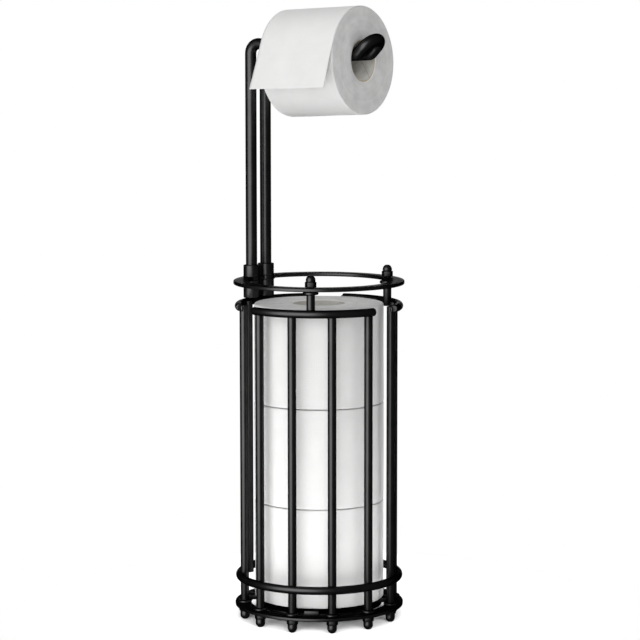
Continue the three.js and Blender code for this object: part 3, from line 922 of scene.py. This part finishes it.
def wrapped(across, along):
    """Where a point of the flat sheet goes, in the upright roll's frame. along starts on the roll."""
    free = along - WRAP_LENGTH
    turned_by = min(along, WRAP_LENGTH) / WRAP_LENGTH * WRAP
    turn = math.radians(LEAVES_AT + WRAP - turned_by)
    merged = min(1, turned_by / MERGE)
    r = HUNG_R + SHEET_SINK + (SHEET_LIFT - SHEET_SINK) * merged * merged * (3 - 2 * merged)
    place = Vector((r * math.cos(turn), r * math.sin(turn), across))
    if free > 0:
        loose = min(1, free / (25 * MM))
        out = Vector((math.cos(turn), math.sin(turn), 0))
        down = Vector((math.sin(turn), -math.cos(turn), 0))
        wave = 0.5 * math.sin(across * 95 + 0.6) + 0.35 * math.sin(across * 41 + free * 60)
        inwards = TWIST * (1 - across / HUNG_WIDTH) * free / DROP
        place += down * free + out * (wave * loose * MM - inwards)
    return place


def loose_end():
    bm = bmesh.new()
    length = WRAP_LENGTH + DROP
    bmesh.ops.create_grid(bm, x_segments=36, y_segments=80, size=0.5)
    layer = bm.loops.layers.uv.new("wound")
    bmesh.ops.translate(bm, verts=bm.verts, vec=(0.5, 0.5, 0))
    bmesh.ops.scale(bm, verts=bm.verts, vec=(SHEET_WIDTH, length, 1))
    for face in bm.faces:
        for loop in face.loops:
            loop[layer].uv = (loop.vert.co.y, loop.vert.co.x)
    for vert in bm.verts:
        vert.co = wrapped(vert.co.x + SHEET_MARGIN, vert.co.y)
    return bm, length


sheet_mesh, SHEET_LENGTH = loose_end()
loose = finish_piece(laid(sheet_mesh), "loose_sheet", TISSUE, "arm", "paper_tail",
                     slot="tissue_paper")
thickness = loose.modifiers.new("tissue thickness", "SOLIDIFY")
thickness.thickness = SHEET_THICKNESS
thickness.offset = 0
print(f"loose end: {SHEET_LENGTH / MM:.0f} mm long, {DROP / MM:.0f} mm of it hanging")

# %% [markdown]
# ## Floor, lights and camera
#
# The object stands on a pale floor in a white room. Black metal shows only what it reflects, so its
# lights are chosen for their reflections: one tall softbox on the left draws a long highlight down
# every rod, a weaker one stands behind, and the rest of the room stays dim. Paper needs broad, soft
# light from the front, with fills from the right, above and behind. The floor has a light above and
# one low in front, so that it stays white up to the feet. Light linking tells Cycles which lamp
# lights what.

# %% Floor

FLOOR_R = 0.32


def pale_floor():
    finish, tree, shader = new_finish("pale floor")
    place = add(tree, "TexCoord").outputs["Object"]
    grain = add(tree, "TexNoise", {"Vector": place}, Scale=30.0, Detail=4.0)
    colour = ramp(tree, grain.outputs["Fac"], (0.3, (0.9, 0.9, 0.9)), (0.7, (0.92, 0.92, 0.92)))
    tree.links.new(colour, shader.inputs["Base Color"])
    shader.inputs["Roughness"].default_value = 0.9
    shader.inputs["Specular IOR Level"].default_value = 0.0
    return finish


floor_bm = bmesh.new()
bmesh.ops.create_circle(floor_bm, cap_ends=True, segments=96, radius=FLOOR_R)
floor_mesh = bpy.data.meshes.new("floor")
floor_bm.to_mesh(floor_mesh)
floor_bm.free()
floor_mesh.materials.append(pale_floor())
floor = bpy.data.objects.new("floor", floor_mesh)
scene.collection.objects.link(floor)
floor.visible_glossy = False  # so that the black metal doesn't mirror a bright floor

# %% Lights


def softbox(name, place, aim, width, height, radiance):
    """A rectangular lamp whose surface has that brightness, whatever its size."""
    lamp = bpy.data.lights.new(name, "AREA")
    lamp.shape = "RECTANGLE"
    lamp.size, lamp.size_y = width, height
    lamp.energy = radiance * math.pi * width * height
    light = bpy.data.objects.new(name, lamp)
    light.location = place
    light.rotation_euler = (Vector(aim) - Vector(place)).to_track_quat("-Z", "Y").to_euler()
    scene.collection.objects.link(light)
    return light


def light_only(light, *things):
    """Limits a lamp to these things, so that each lamp can be set for one of them."""
    group = bpy.data.collections.new(f"{light.name} receivers")
    for thing in things:
        group.objects.link(thing)
    light.light_linking.receiver_collection = group


PAPER_FINISHES = {TISSUE.name, TISSUE_END.name, CARD.name, CARD_EDGE.name}
pieces = [o for o in scene.objects if o.type == "MESH" and o != floor and not o.hide_render]
paper_pieces = [o for o in pieces if o.data.materials and o.data.materials[0].name in PAPER_FINISHES]
metal_pieces = [o for o in pieces if o.data.materials and o.data.materials[0] == BLACK]
print("lit as paper:", len(paper_pieces), " lit as metal:", len(metal_pieces))

AIM = (0, 0, 0.33)
METAL_LAMPS_AWAY, PAPER_LAMPS_AWAY = 1.35, 1.4


def metal_lamp(name, azimuth, height, wide, tall, radiance):
    place = towards(azimuth) * METAL_LAMPS_AWAY + UP * height
    light_only(softbox(name, place, AIM, wide, tall, radiance), *metal_pieces)


def paper_lamp(name, azimuth, height, wide, tall, radiance):
    place = towards(azimuth) * PAPER_LAMPS_AWAY + UP * height
    light_only(softbox(name, place, AIM, wide, tall, radiance), *paper_pieces)


metal_lamp("metal key", -34, 0.42, 1.6, 1.8, 4.2)
paper_lamp("paper key", -27, 0.42, 2.8, 2.3, 1.5)
paper_lamp("paper right fill", 72, 0.6, 1.2, 1.4, 0.8)
light_only(softbox("paper top fill", (0.1, -0.1, 1.5), AIM, 1.4, 1.4, 0.65), *paper_pieces)
core_lamp_place = spin_point + spin_axis * 0.8 + UP * 0.3
light_only(softbox("core fill", core_lamp_place, spin_point, 0.7, 0.7, 2.5), core)
metal_lamp("metal back light", 178, 0.62, 1.0, 1.6, 2.2)
paper_lamp("paper back fill", 190, 0.6, 1.8, 1.6, 1.5)
light_only(softbox("floor top", (0, 0, 1.5), (0, 0, 0), 3.0, 3.0, 1.8), floor)
light_only(softbox("floor front", (0, -1.5, 0.5), (0, 0, 0), 2.6, 0.9, 15.0), floor)

# %% Room

world = bpy.data.worlds.new("room")
world.use_nodes = True
scene.world = world
tree = world.node_tree
tree.nodes.clear()
seen = add(tree, "LightPath").outputs["Is Camera Ray"]
dim = add(tree, "Background", Color=(1, 1, 1, 1), Strength=0.11)
white = add(tree, "Background", Color=(1, 1, 1, 1), Strength=1.0)
room = tree.nodes.new("ShaderNodeMixShader")
tree.links.new(seen, room.inputs[0])
tree.links.new(dim.outputs[0], room.inputs[1])
tree.links.new(white.outputs[0], room.inputs[2])
room_out = tree.nodes.new("ShaderNodeOutputWorld")
tree.links.new(room.outputs[0], room_out.inputs["Surface"])

scene.view_settings.view_transform = "Standard"
scene.view_settings.look = "None"

# %% Camera

LENS, SENSOR = 141.98, 36  # both in millimetres, as on a real camera
LOOKS_DOWN, LEANS = 6.735, 0.057  # degrees

camera_data = bpy.data.cameras.new("camera")
camera_data.lens = LENS
camera_data.sensor_width = SENSOR
camera_data.clip_end = 20
camera = bpy.data.objects.new("camera", camera_data)
camera.location = (0.001358, -2.588784, 0.617208)
camera.rotation_euler = (math.radians(90 - LOOKS_DOWN), math.radians(LEANS), 0)
scene.collection.objects.link(camera)
scene.camera = camera
